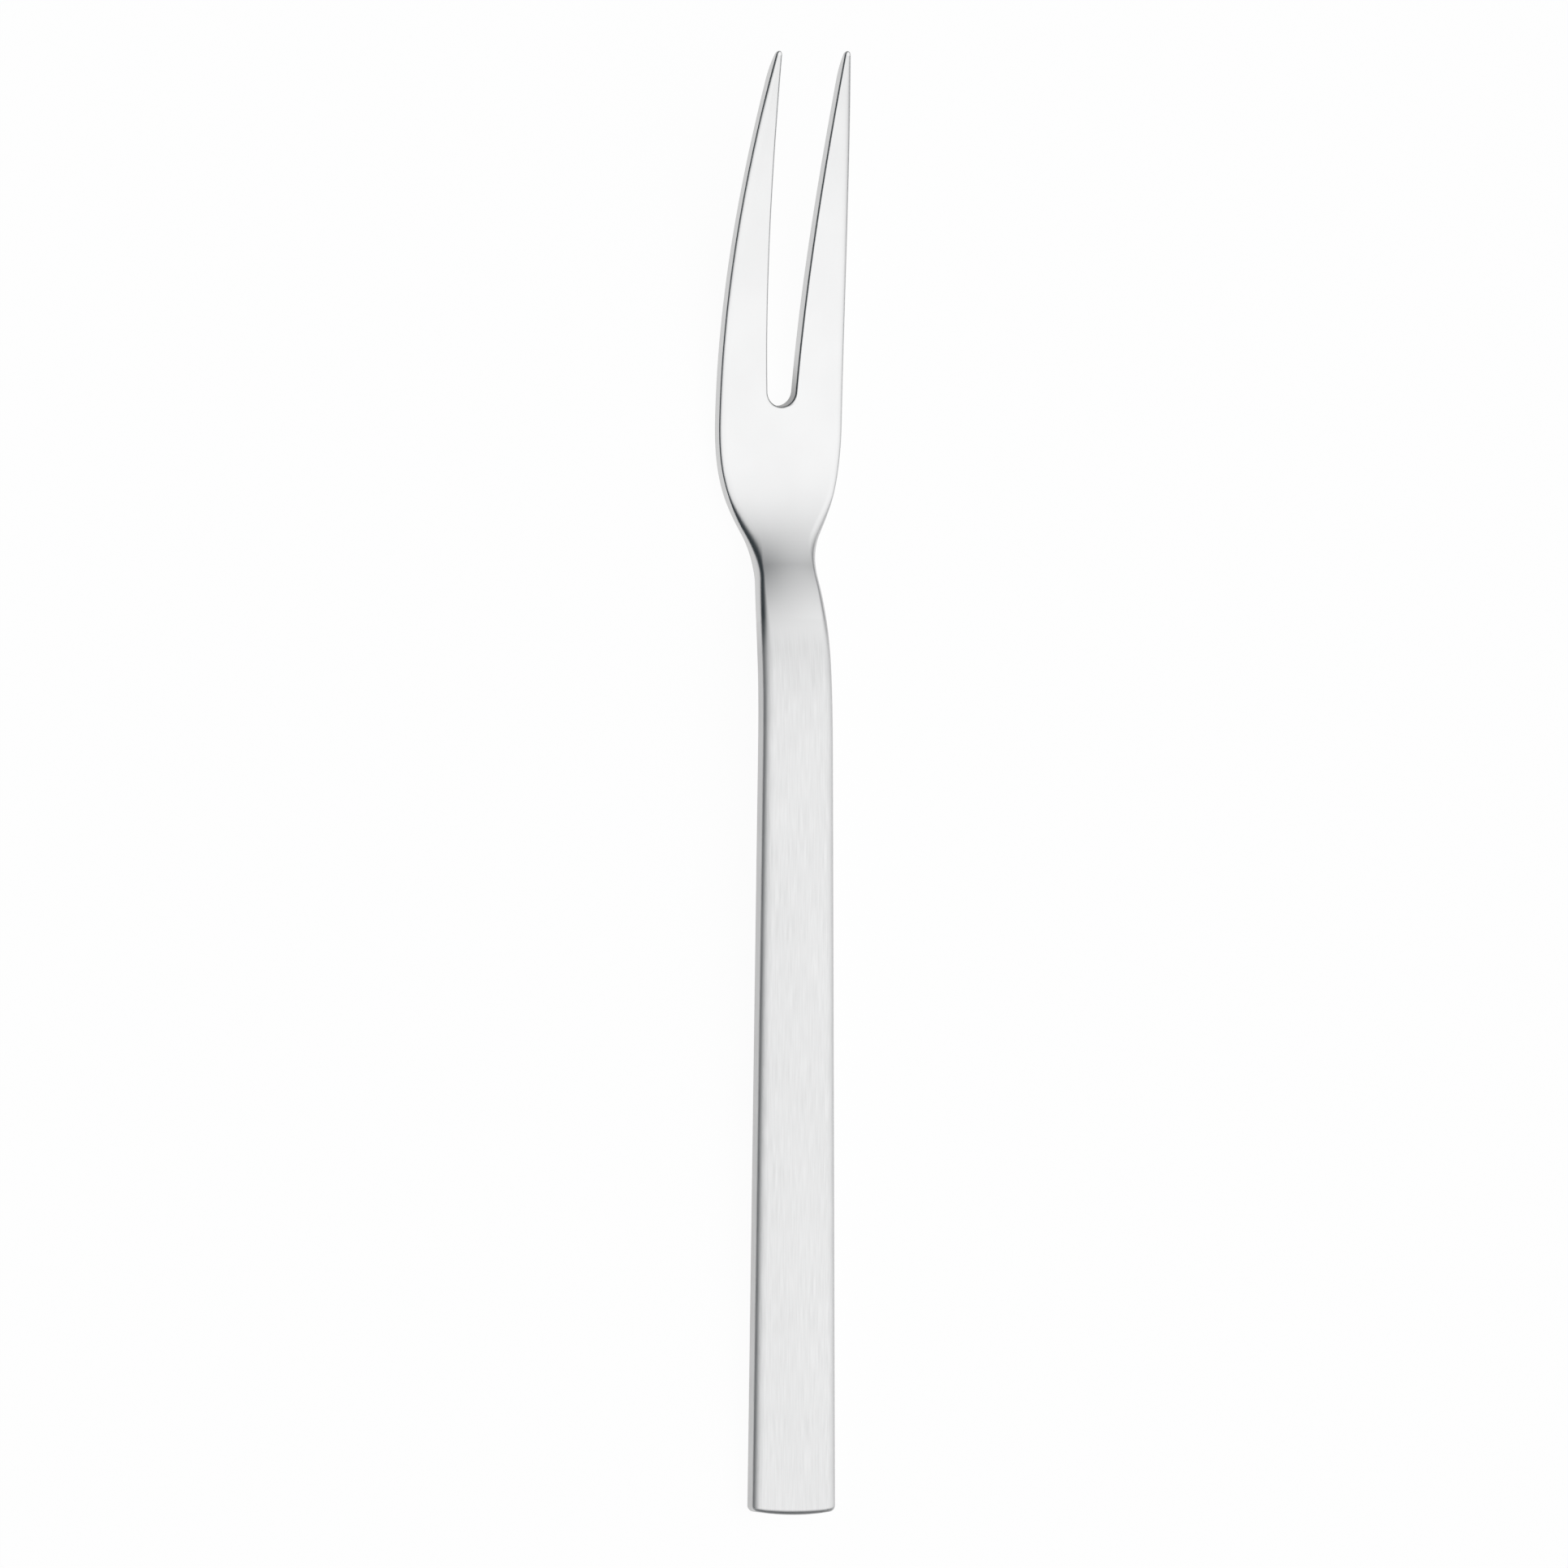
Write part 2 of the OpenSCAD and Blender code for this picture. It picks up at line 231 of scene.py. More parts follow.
class MeatForkStage(bpy.types.PropertyGroup):
    """Floor, light and camera. The angles of the light are measured from overhead."""

    floor_colour: colour("Floor", "Colour of the floor", (1.0, 1.0, 1.0))
    floor_glow: share("Floor glow", "Share of the floor's brightness that shines up through it", 0.95)
    floor_roughness: share("Floor roughness", "Roughness of the floor", 0.9)
    floor_side: length("Floor side", "Side of the square floor", 6000)
    light: amount("Light", "Brightness of the soft light overhead", 1.57)
    light_colour: colour("Light colour", "Colour of that light", (1.0, 0.993, 0.989))
    dusk: colour("Dusk", "Colour of the dark round the light", (0.014, 0.027, 0.036))
    left_from: angle("Left from", "Angle to the left where the light starts to fade", 12)
    left_to: angle("Left to", "Angle to the left where the light ends", 38)
    right_from: angle("Right from", "Angle to the right where the light starts to fade", 35)
    right_to: angle("Right to", "Angle to the right where the light would end", 125)
    front_from: angle("Front from", "Angle to the handle end where the light starts to fade", 46)
    front_to: angle("Front to", "Angle to the handle end where the light ends", 60)
    back_from: angle("Back from", "Angle to the tines where the light starts to fade", -5)
    back_to: angle("Back to", "Angle to the tines where the light ends", 65)
    back_skew: share("Back skew", "How much further the light reaches to the tines on its right", 0.5)
    skew_to: angle("Skew to", "Angle to either side beyond which that grows no more", 50)
    view_across: angle("View across", "Lean of the camera to the left", 21.5)
    view_along: angle("View along", "Lean of the camera to the handle end", 1.83)
    view_width: length("View width", "Width of what the camera sees", 219.64)
    aim_across: length("Aim across", "Middle of the picture, right of the fork's middle", 0.728)
    aim_along: length("Aim along", "Middle of the picture, towards the tines", 0.193)
    aim_height: length("Aim height", "Height of what the picture's width is measured at", 8)
    lens: bpy.props.FloatProperty(
        name="Lens", description="Focal length of the camera", default=1500, unit="CAMERA"
    )


class Curve:
    """A smooth curve along the fork through rows of station, value and angle."""

    def __init__(self, *rows):
        self.rows = [(station, value, math.tan(slope)) for station, value, slope in rows]

    def span(self, s):
        """The two rows on either side of a station."""
        i = 0
        while i < len(self.rows) - 2 and s > self.rows[i + 1][0]:
            i += 1
        return self.rows[i], self.rows[i + 1]

    def value(self, s):
        """The value at a station."""
        (s0, v0, m0), (s1, v1, m1) = self.span(s)
        d = s1 - s0
        f = (s - s0) / d
        g = 1 - f
        return v0 * (1 + 2 * f) * g * g + v1 * f * f * (3 - 2 * f) + d * f * g * (m0 * g - m1 * f)

    def rise(self, s):
        """How fast the value grows at a station."""
        (s0, v0, m0), (s1, v1, m1) = self.span(s)
        d = s1 - s0
        f = (s - s0) / d
        g = 1 - f
        return 6 * f * g * (v1 - v0) / d + m0 * g * (1 - 3 * f) + m1 * f * (3 * f - 2)


# How far a place lies into a rounding, from 0 to 1, and how fast that grows across and along
Edge = namedtuple("Edge", "reach across along")
# A place on the fork: where it lies across and along, how far into any rounding and into the slot's
# (the latter marks the slot's walls for painted shade), and its point and outward direction on the top
# and on the back
Place = namedtuple("Place", "x s reach cut top top_out back back_out")


def near(distance, width):
    """Share of a rounding of that width that applies at a distance from its edge."""
    return max(0.0, 1 - distance / width)


def fall(reach):
    """Fall of a rounded surface, as a share of the rounding's height."""
    return 1 - math.sqrt(max(0.0, 1 - reach * reach))


def edge(distance, width, across, along):
    """The rounding at a distance from an edge; across and along say how fast the distance grows."""
    reach = near(distance, width)
    return Edge(reach, -across / width, -along / width)


def side_edge(x, half, spread, width):
    """The rounding along the two sides of a section."""
    return edge(half - abs(x), width, -math.copysign(1, x), spread)


def edge_steps(width):
    """Places across a rounding, counted from its edge."""
    turn = math.pi / 2 / EDGE_STEPS
    return [width * (1 - math.cos(turn * k)) for k in range(EDGE_STEPS + 1)]


def run(start, end, count):
    """Evenly spaced stations, both ends included."""
    return [start + (end - start) * k / count for k in range(count + 1)]


def section(half, left, right):
    """Places across a section: its left rounding, the flat, and its right rounding."""
    flat = run(left - half, half - right, FLAT_STEPS)[1:-1]
    return [d - half for d in edge_steps(left)] + flat + [half - d for d in reversed(edge_steps(right))]


class Form:
    """The fork's curves, and how it lies on the table, from its sizes."""

    def __init__(self, size):
        self.size = size
        self.slot_at = size.fork_len - size.slot_len
        self.slot_mid = self.slot_at + size.slot_r
        self.slot_straight = self.slot_mid - size.slot_r * math.sin(size.slot_flare)
        self.point_at = size.fork_len - size.tip_len
        self.widest_at = self.slot_at - size.to_widest
        self.low_at = self.widest_at - size.to_low
        self.head_at = self.low_at - size.to_neck
        self.waist_at = self.head_at - size.to_waist
        self.neck_at = self.waist_at - size.to_handle
        self.taper_at = self.neck_at - size.to_taper
        self.bend_at = self.taper_at - size.to_bend
        self.make_curves()
        self.lay_down()

    def make_curves(self):
        """The curves of half width, top line, thickness, rounding and crown along the fork."""
        size = self.size
        taper = math.atan((size.handle_w - size.handle_end_w) / 2 / self.taper_at)
        tip_half = self.slot_half(size.fork_len) + size.tip_w
        run_out = math.atan((tip_half - size.head_w / 2) / (size.fork_len - self.widest_at))
        self.half_width = Curve(
            (0, size.handle_end_w / 2, taper),
            (self.taper_at, size.handle_w / 2, taper),
            self.on_waist(-size.draw_angle),
            self.on_waist(0),
            self.on_waist(size.flare_angle),
            (self.widest_at, size.head_w / 2, 0),
            (size.fork_len, tip_half, 2 * run_out),
        )
        heel_at = self.low_at - size.heel_r * math.sin(size.neck_slope)
        heel_rise = size.heel_r * (1 - math.cos(size.neck_slope))
        self.top_line = Curve(
            (0, 0, 0),
            (self.bend_at, 0, 0),
            (heel_at, heel_rise - size.head_drop, -size.neck_slope),
            (self.low_at, -size.head_drop, 0),
            (size.fork_len, size.tip_rise - size.head_drop, size.tip_slope),
        )
        self.thickness = Curve(
            (0, size.handle_t, 0),
            (self.bend_at, size.handle_t, 0),
            (self.waist_at, size.neck_t, 0),
            (self.head_at, size.head_t, 0),
            (self.slot_at, size.head_t, 0),
            (self.point_at, size.tine_t, 0),
            (size.fork_len, size.tip_t, -2 * math.atan((size.tine_t - size.tip_t) / size.tip_len)),
        )
        self.edge_w = self.by_region(
            size.handle_edge_w, size.neck_edge_w, size.head_edge_w, size.flare_edge_w
        )
        self.edge_h = self.by_region(
            size.handle_edge_h, size.neck_edge_h, size.head_edge_h, size.flare_edge_h
        )
        self.crown = self.by_region(size.handle_crown, size.neck_crown, 0)

    def on_waist(self, slope):
        """Row of the half width on the arc of the waist, where it has that slope."""
        size = self.size
        return (
            self.waist_at + size.waist_r * math.sin(slope),
            size.neck_w / 2 + size.waist_r * (1 - math.cos(slope)),
            slope,
        )

    def by_region(self, handle, neck, head, flare=None):
        """A curve with values for the handle, the waist, the head and, if given, the flare."""
        spread = [] if flare is None else [(self.on_waist(self.size.flare_angle)[0], flare, 0)]
        return Curve(
            (0, handle, 0),
            (self.taper_at, handle, 0),
            (self.waist_at, neck, 0),
            *spread,
            (self.head_at, head, 0),
            (self.size.fork_len, head, 0),
        )

    def slot_half(self, s):
        """Half the slot's width: round at its bottom, then straight sides."""
        size = self.size
        if s >= self.slot_straight:
            widening = (s - self.slot_mid) * math.tan(size.slot_flare)
            return size.slot_r / math.cos(size.slot_flare) + widening
        return math.sqrt(max(0.0, size.slot_r ** 2 - (self.slot_mid - s) ** 2))

    def below(self, x, s, depth):
        """A point at a depth under the top surface, before the fork is laid down."""
        slope = math.atan(self.top_line.rise(s))
        height = self.top_line.value(s)
        return Vector((x, s + depth * math.sin(slope), height - depth * math.cos(slope)))

    def lay_down(self):
        """Leans the fork so that it rests on its handle end and on the back of its head."""
        size = self.size
        head_rest = self.below(0, self.low_at - HEAD_REST, size.head_t)
        end_rest = self.below(0, size.end_edge_w, size.handle_t)
        lean = math.atan((end_rest.z - head_rest.z) / (head_rest.y - end_rest.y))
        self.turn = Matrix.Rotation(lean, 3, "X")
        rests = run(self.low_at - REST_REACH, self.low_at + REST_REACH, REST_STEPS)
        rests.append(size.end_edge_w)
        floor_z = min((self.turn @ self.below(0, s, self.thickness.value(s))).z for s in rests)
        first_y = (self.turn @ self.below(0, 0, size.handle_edge_h)).y
        last_y = (self.turn @ self.below(0, size.fork_len, size.tip_t - size.head_edge_h)).y
        self.shift = Vector((0, -(first_y + last_y) / 2, -floor_z))

    def lay(self, point):
        """A point of the fork where it lies on the table."""
        return self.turn @ point + self.shift

    def place(self, x, s, edges, edge_h, cut=0.0):
        """The top and the back of the fork at x across it, rounded by the edges that reach there."""
        slope = math.atan(self.top_line.rise(s))
        along = Vector((0, math.cos(slope), math.sin(slope)))
        up = Vector((0, -math.sin(slope), math.cos(slope)))
        side = Vector((1, 0, 0))
        thick = self.thickness.value(s)
        height = min(edge_h, MOST_OF_THICKNESS * thick)
        kept = [max(TINY, 1 - e.reach ** 2) for e in edges]
        all_kept = math.prod(kept)
        flat = math.sqrt(all_kept)
        half = self.half_width.value(s)
        crown = self.crown.value(s)
        round_fall = height * (1 - flat)
        pulls = [e.reach * all_kept / part for e, part in zip(edges, kept)]
        out_across = sum(pull * e.across for pull, e in zip(pulls, edges))
        out_along = sum(pull * e.along for pull, e in zip(pulls, edges)) * math.cos(slope)
        outward = side * out_across + along * out_along
        lean_in = side * (2 * crown * x / half ** 2)
        lean_on = along * (self.thickness.rise(s) * math.cos(slope))
        top_out = (up + lean_in) * flat + outward * height
        back_out = (-up - lean_on) * flat + outward * height
        return Place(
            x,
            s,
            1 - flat,
            cut,
            self.lay(self.below(x, s, round_fall + crown * (x / half) ** 2)),
            (self.turn @ top_out).normalized(),
            self.lay(self.below(x, s, thick - round_fall)),
            (self.turn @ back_out).normalized(),
        )

    def plain_row(self, s):
        """A section across the handle's bend or the neck."""
        half, spread = self.half_width.value(s), self.half_width.rise(s)
        width, height = self.edge_w.value(s), self.edge_h.value(s)
        return [
            self.place(x, s, [side_edge(x, half, spread, width)], height)
            for x in section(half, width, width)
        ]

    def end_row(self, s):
        """A section near the handle end: round corners, a rounded end and a bowed end line."""
        size = self.size
        corner = near(s, size.corner_r)
        half = self.half_width.value(s) - size.corner_r * fall(corner)
        spread = self.half_width.rise(s)
        spread += corner / max(math.sqrt(1 - corner ** 2), 1 / STEEPEST_CORNER)
        bow = size.end_bow * near(s, size.bow_len)
        width = self.edge_w.value(s)
        row = []
        for x in section(half, width, width):
            sides = side_edge(x, half, spread, width)
            end = self.end_edge(s, -2 * bow * x / half ** 2)
            row.append(self.place(x, s + bow * (x / half) ** 2, [sides, end], size.handle_edge_h))
        return row

    def end_edge(self, s, bow_rise):
        """The rounding along the handle end, whose line has the slope bow_rise there."""
        size = self.size
        part = near(s, size.end_edge_w)
        low = size.end_edge_h / size.handle_edge_h
        flat = 1 - low * part ** 2
        reach = math.sqrt(1 - flat ** 2)
        growth = 2 * flat * part * low / (size.end_edge_w * max(reach, TINY))
        return Edge(reach, -bow_rise * growth, -growth)

    def head_row(self, s):
        """A section of the head, with the rounding round the slot's bottom."""
        half, spread = self.half_width.value(s), self.half_width.rise(s)
        width, height = self.edge_w.value(s), self.edge_h.value(s)
        start = self.slot_half(max(s, self.slot_at))
        middle = (start + half) / 2
        right = [middle + x for x in section(half - middle, self.size.slot_edge_w, width)]
        row = []
        for x in [-x for x in reversed(right)] + right:
            sides = side_edge(x, half, spread, width)
            slot = self.slot_edge(x, s)
            # The slot's reach also marks where the walls near its bottom get painted shade
            row.append(self.place(x, s, [sides, slot], height, slot.reach))
        return row

    def slot_edge(self, x, s):
        """The rounding along the slot."""
        width = self.size.slot_edge_w
        if s >= self.slot_straight:
            gap = abs(x) - self.slot_half(s)
            return edge(gap, width, math.copysign(1, x), -math.tan(self.size.slot_flare))
        away = Vector((x, s - self.slot_mid))
        gap = away.length - self.size.slot_r
        return edge(gap, width, away.x / away.length, away.y / away.length)

    def tine_row(self, s, hand):
        """A section of the tine on one hand, with its round nose."""
        size = self.size
        inner, outer = self.slot_half(s), self.half_width.value(s)
        nose = size.nose_len
        blunt = max(0.0, s - size.fork_len + nose) / nose
        shrink = math.sqrt(1 - NOSE_LOSS * blunt ** 2)
        full = (outer - inner) / 2
        half = full * shrink
        inner_w = min(size.slot_edge_w, MOST_OF_TINE * half)
        outer_w = min(self.edge_w.value(s), MOST_OF_TINE * half)
        inner_rise, outer_rise = math.tan(size.slot_flare), self.half_width.rise(s)
        drift = (outer_rise + inner_rise) / 2
        spread = (outer_rise - inner_rise) / 2 * shrink
        spread -= full * NOSE_LOSS * blunt / (shrink * nose)
        tip = Edge(blunt, 0, 1 / nose)
        middle = (inner + outer) / 2
        row = []
        for x in section(half, inner_w, outer_w):
            sign = math.copysign(1, x)
            width = inner_w if x < 0 else outer_w
            sides = edge(half - abs(x), width, -sign * hand, spread + sign * drift)
            # The rounding along the slot marks where the walls near its bottom get painted shade
            cut = sides.reach if x < 0 else 0.0
            row.append(self.place(hand * (middle + x), s, [sides, tip], self.edge_h.value(s), cut))
        return row if hand > 0 else row[::-1]


class Loft:
    """A closed mesh through rows of places, with its own outward directions and grain.

    A slot opens in its middle at slot_row, if that is given.
    """

    def __init__(self, rows, slot_row=None):
        self.rows = rows
        self.last = len(rows[0]) - 1
        self.slot_row = slot_row
        self.middle = len(rows[0]) // 2 if slot_row is not None else None
        self.ids = {}
        self.points = []
        self.reaches = []
        self.slot_shades_and_dullness = []
        self.faces = []
        self.outs = []
        self.grain = []

    def corner(self, i, j, back):
        """Index of a point. Before the slot opens, the two middle columns are one line."""
        if j == self.middle and i <= self.slot_row:
            j -= 1
        key = (i, j, back)
        if key not in self.ids:
            place = self.rows[i][j]
            self.ids[key] = len(self.points)
            self.points.append(place.back if back else place.top)
            self.reaches.append(place.reach)
            self.slot_shades_and_dullness.append(place.cut)
        return self.ids[key]

    def add(self, corners, grain, outs=None):
        """Adds a face. Its corners keep their own outward directions unless others are given."""
        self.faces.append([self.corner(*c) for c in corners])
        places = [(self.rows[i][j], back) for i, j, back in corners]
        self.outs += outs or [place.back_out if back else place.top_out for place, back in places]
        self.grain += grain

    def sheet(self, i, j, back):
        """A face of the top or of the back."""
        corners = [(i, j, back), (i, j + 1, back), (i + 1, j + 1, back), (i + 1, j, back)]
        if back:
            corners.reverse()
        places = [self.rows[a][b] for a, b, _ in corners]
        self.add(corners, [(p.x + BACK_GRAIN * back, p.s) for p in places])

    def wall(self, i, j, hand):
        """The straight strip between the two roundings of an edge that faces left or right."""
        corners = [(i + 1, j, 1), (i, j, 1), (i, j, 0), (i + 1, j, 0)]
        if hand > 0:
            corners.reverse()
        grain = []
        for a, b, back in corners:
            place = self.rows[a][b]
            depth = (place.top - place.back).length
            grain.append((place.x + hand * depth * back, place.s))
        self.add(corners, grain)

    def cap(self, i, j, hand, rounded):
        """A face of an end, either flat or shaded so that it runs on into the roundings."""
        corners = [(i, j, 1), (i, j + 1, 1), (i, j + 1, 0), (i, j, 0)]
        if hand > 0:
            corners.reverse()
        places = [self.rows[a][b] for a, b, _ in corners]
        grain = []
        for (_, _, back), place in zip(corners, places):
            depth = (place.top - place.back).length
            grain.append((place.x, place.s + hand * depth * back))
        if rounded:
            outs = [(place.top_out + place.back_out).normalized() for place in places]
        else:
            points = [p.back if back else p.top for (_, _, back), p in zip(corners, places)]
            straight_out = (points[1] - points[0]).cross(points[2] - points[1]).normalized()
            outs = [straight_out] * len(corners)
        self.add(corners, grain, outs)

    def mesh(self, name, rounded_start=False, rounded_end=False):
        """The finished mesh, with its grain map and its values for the finish."""
        count = len(self.rows) - 1
        columns = [j for j in range(self.last) if self.middle is None or j != self.middle - 1]
        for i in range(count):
            for j in columns:
                self.sheet(i, j, 0)
                self.sheet(i, j, 1)
            self.wall(i, 0, -1)
            self.wall(i, self.last, 1)
            if self.middle is not None and i >= self.slot_row:
                self.wall(i, self.middle - 1, 1)
                self.wall(i, self.middle, -1)
        for j in columns:
            self.cap(0, j, -1, rounded_start)
            self.cap(count, j, 1, rounded_end)
        made = bpy.data.meshes.new(name)
        made.from_pydata(self.points, [], self.faces)
        made.polygons.foreach_set("use_smooth", [True] * len(made.polygons))
        # The slot value marks the walls that get painted shade
        for value, numbers in ((EDGE_VALUE, self.reaches), (SLOT_SHADE_VALUE, self.slot_shades_and_dullness)):
            made.attributes.new(value, "FLOAT", "POINT").data.foreach_set("value", numbers)
        layer = made.uv_layers.new(name=GRAIN_MAP)
        layer.uv.foreach_set("vector", [n for uv in self.grain for n in uv])
        made.normals_split_custom_set([tuple(out) for out in self.outs])
        made.update()
        return made


def add_piece(mesh, node, material):
    """Puts a finished mesh in the place of its CAD node."""
    piece = bpy.data.objects.new(mesh.name, mesh)
    bpy.context.scene.collection.objects.link(piece)
    mesh.materials.append(material)
    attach(piece, "root")
    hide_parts(node)


class Nodes:
    """A node tree that is built one node at a time."""

    def __init__(self, tree):
        self.tree = tree
        tree.nodes.clear()

    def add(self, kind, inputs=None, **settings):
        """Adds a node. An input given as a socket is linked, and any other is set as a value."""
        made = self.tree.nodes.new(kind)
        for name, value in settings.items():
            setattr(made, name, value)
        for key, value in (inputs or {}).items():
            if isinstance(value, bpy.types.NodeSocket):
                self.tree.links.new(value, made.inputs[key])
            else:
                made.inputs[key].default_value = value
        return made

    def math(self, operation, first, second):
        """One operation on two values."""
        return self.add("ShaderNodeMath", {0: first, 1: second}, operation=operation).outputs[0]

    def ramp(self, value, start, end, low=0.0, high=1.0, smooth=False):
        """Maps a value from one range to another, and holds it at the ends."""
        kind = "SMOOTHSTEP" if smooth else "LINEAR"
        inputs = {"Value": value, "From Min": start, "From Max": end, "To Min": low, "To Max": high}
        return self.add("ShaderNodeMapRange", inputs, interpolation_type=kind).outputs["Result"]

    def mix(self, part, first, second):
        """Goes from the first value to the second as part goes from 0 to 1."""
        return self.ramp(part, 0.0, 1.0, first, second)

    def add_up(self, first, second, part):
        """A sum of two noises, in which the first has that part and the second the rest."""
        weighed = self.math("MULTIPLY", first, part)
        return self.math("ADD", weighed, self.math("MULTIPLY", second, 1 - part))

    def spread(self, noise, low, high):
        """Noise spread between two values."""
        return self.ramp(noise, NOISE_LOW, NOISE_HIGH, low, high)

    def noise(self, vector, wide, long, detail):
        """Noise whose grains are that wide across the steel and that long along it."""
        stretched = self.add("ShaderNodeMapping", {"Vector": vector, "Scale": (1 / wide, 1 / long, 1)})
        inputs = {"Vector": stretched.outputs["Vector"], "Scale": 1.0, "Detail": detail}
        return self.add("ShaderNodeTexNoise", inputs).outputs["Fac"]

    def bump(self, height, depth):
        """The outward direction of a surface that is uneven by up to that depth."""
        inputs = {"Height": height, "Distance": depth, "Strength": 1.0}
        return self.add("ShaderNodeBump", inputs).outputs["Normal"]

    def grain(self):
        """The place on the steel, across and along it, and the part along it by itself."""
        place = self.add("ShaderNodeUVMap", uv_map=GRAIN_MAP).outputs["UV"]
        return place, self.add("ShaderNodeSeparateXYZ", {"Vector": place}).outputs["Y"]

    def value_of(self, name):
        """A value that the mesh holds for each of its points."""
        return self.add("ShaderNodeAttribute", attribute_name=name).outputs["Fac"]


def new_material(name):
    """An empty material and its nodes."""
    material = bpy.data.materials.new(name)
    material.use_nodes = True
    return material, Nodes(material.node_tree)


def finish_surface(nodes, shade, roughness, normal, finish, stretch):
    """Joins the parts of a steel finish in one shader."""
    shaded = {0: finish.steel_colour, "Scale": shade}
    steel = nodes.add("ShaderNodeVectorMath", shaded, operation="SCALE")
    across_grain = nodes.add("ShaderNodeTangent", direction_type="UV_MAP", uv_map=GRAIN_MAP)
    shader = nodes.add(
        "ShaderNodeBsdfPrincipled",
        {
            "Base Color": steel.outputs["Vector"],
            "Metallic": 1.0,
            "Roughness": roughness,
            "Normal": normal,
            "Anisotropic": stretch,
            "Tangent": across_grain.outputs["Tangent"],
        },
    )
    nodes.add("ShaderNodeOutputMaterial", {"Surface": shader.outputs["BSDF"]})


def satin_steel(finish, neck_at):
    """Steel brushed along the handle, which gives way to the polish near the neck."""
    material, nodes = new_material("satin_finish")
    grain, station = nodes.grain()
    satin = nodes.ramp(station, neck_at - finish.finish_fade, neck_at, 1.0, 0.0, smooth=True)
    streaks = nodes.noise(grain, finish.streak_w, finish.streak_len, STREAK_DETAIL)
    patch_len = finish.patch_len * SATIN_PATCH_STRETCH
    patches = nodes.noise(grain, finish.patch_len, patch_len, PATCH_DETAIL)
    strokes = nodes.add_up(streaks, patches, STREAK_SHARE)
    dark = finish.satin_shade * (1 - finish.streak_tint)
    light = finish.satin_shade * (1 + finish.streak_tint)
    duller = finish.satin_roughness + finish.satin_stray
    smoother = finish.satin_roughness - finish.satin_stray
    finish_surface(
        nodes,
        nodes.mix(satin, 1.0, nodes.spread(strokes, dark, light)),
        nodes.mix(satin, finish.bright_roughness, nodes.spread(strokes, duller, smoother)),
        nodes.bump(nodes.math("MULTIPLY", streaks, satin), finish.streak_depth),
        finish,
        stretch=finish.satin_stretch,
    )
    return material


def bright_steel(finish, slot_at):
    """Polished steel with faint patches and hair lines; near the slot's bottom its walls are rougher
    and darkened by painted shade.
    """
    material, nodes = new_material("bright_finish")
    grain, station = nodes.grain()
    hairs = nodes.noise(grain, finish.streak_w, finish.streak_len, PATCH_DETAIL)
    patches = nodes.noise(grain, finish.patch_len, finish.patch_len, PATCH_DETAIL)
    marks = nodes.add_up(hairs, patches, HAIR_SHARE)
    duller = finish.bright_roughness + finish.bright_stray
    smoother = finish.bright_roughness - finish.bright_stray
    wear = nodes.ramp(nodes.value_of(EDGE_VALUE), WEAR_FROM, 1.0, 1.0, 1 - finish.edge_polish)
    polish = nodes.math("MULTIPLY", nodes.spread(marks, duller, smoother), wear)
    # Painted shade: near the slot's bottom the walls' colour is darkened and their roughness raised
    deep = nodes.ramp(station, slot_at, slot_at + finish.slot_shade_fade, 1.0, 0.0, smooth=True)
    cut = nodes.math("MULTIPLY", deep, nodes.ramp(nodes.value_of(SLOT_SHADE_VALUE), SLOT_SHADE_FROM, 1.0))
    tint = nodes.spread(marks, 1 - finish.patch_tint, 1 + finish.patch_tint)
    finish_surface(
        nodes,
        nodes.mix(cut, tint, finish.painted_slot_shade),
        nodes.mix(cut, polish, finish.bright_roughness * (1 + finish.cut_roughness)),
        nodes.bump(hairs, finish.hair_depth),
        finish,
        stretch=0.0,
    )
    return material


def material_of(slot, finish, form):
    """The finish of a slot, made the first time it is asked for."""
    name = slot.replace("steel", "finish")
    if name in bpy.data.materials:
        return bpy.data.materials[name]
    if slot == "satin_steel":
        return satin_steel(finish, form.neck_at)
    return bright_steel(finish, form.slot_at)


def build(context, node, slot, rows_of, **ends):
    """Lofts one piece of the fork and puts it in the place of its node."""
    form = Form(context.scene.meat_fork_sizes)
    loft = rows_of(form)
    mesh = loft.mesh(node + "_steel", **ends)
    if mesh.validate():
        raise RuntimeError(node + " has faces that don't hold together")
    add_piece(mesh, node, material_of(slot, context.scene.meat_fork_finish, form))


def handle_rows(form):
    """The handle: round corners, bowed end, straight taper and the start of the bend."""
    size = form.size
    corners = edge_steps(size.corner_r)[:-1]
    bowed = run(size.corner_r, size.bow_len, BOW_STEPS)
    straight = run(size.bow_len, form.bend_at, STRAIGHT_STEPS)[1:-1]
    bend = run(form.bend_at, form.neck_at, BEND_STEPS)
    rows = [form.end_row(s) for s in corners + bowed]
    rows += [form.plain_row(s) for s in straight + bend]
    return Loft(rows)


def neck_rows(form):
    """The neck, from the handle to the head."""
    return Loft([form.plain_row(s) for s in run(form.neck_at, form.head_at, NECK_STEPS)])


def head_rows(form):
    """The root of the head: its flat, the lip before the slot, and the slot's round bottom."""
    size = form.size
    flat = run(form.head_at, form.slot_at - size.slot_edge_w, HEAD_STEPS)
    lip = [form.slot_at - d for d in reversed(edge_steps(size.slot_edge_w)[:-1])]
    turns = run(0, math.pi / 2 - size.slot_flare, SLOT_STEPS)[1:]
    slot = [form.slot_mid - size.slot_r * math.cos(turn) for turn in turns] + [form.slot_mid]
    return Loft([form.head_row(s) for s in flat + lip + slot], len(flat + lip) - 1)


def tine_rows(form, hand):
    """The tine on one hand: its blade and its round nose."""
    size = form.size
    blade = run(form.slot_mid, size.fork_len - size.nose_len, TINE_STEPS)
    nose = [size.fork_len - d for d in reversed(edge_steps(size.nose_len)[:-1])]
    return Loft([form.tine_row(s, hand) for s in blade + nose])


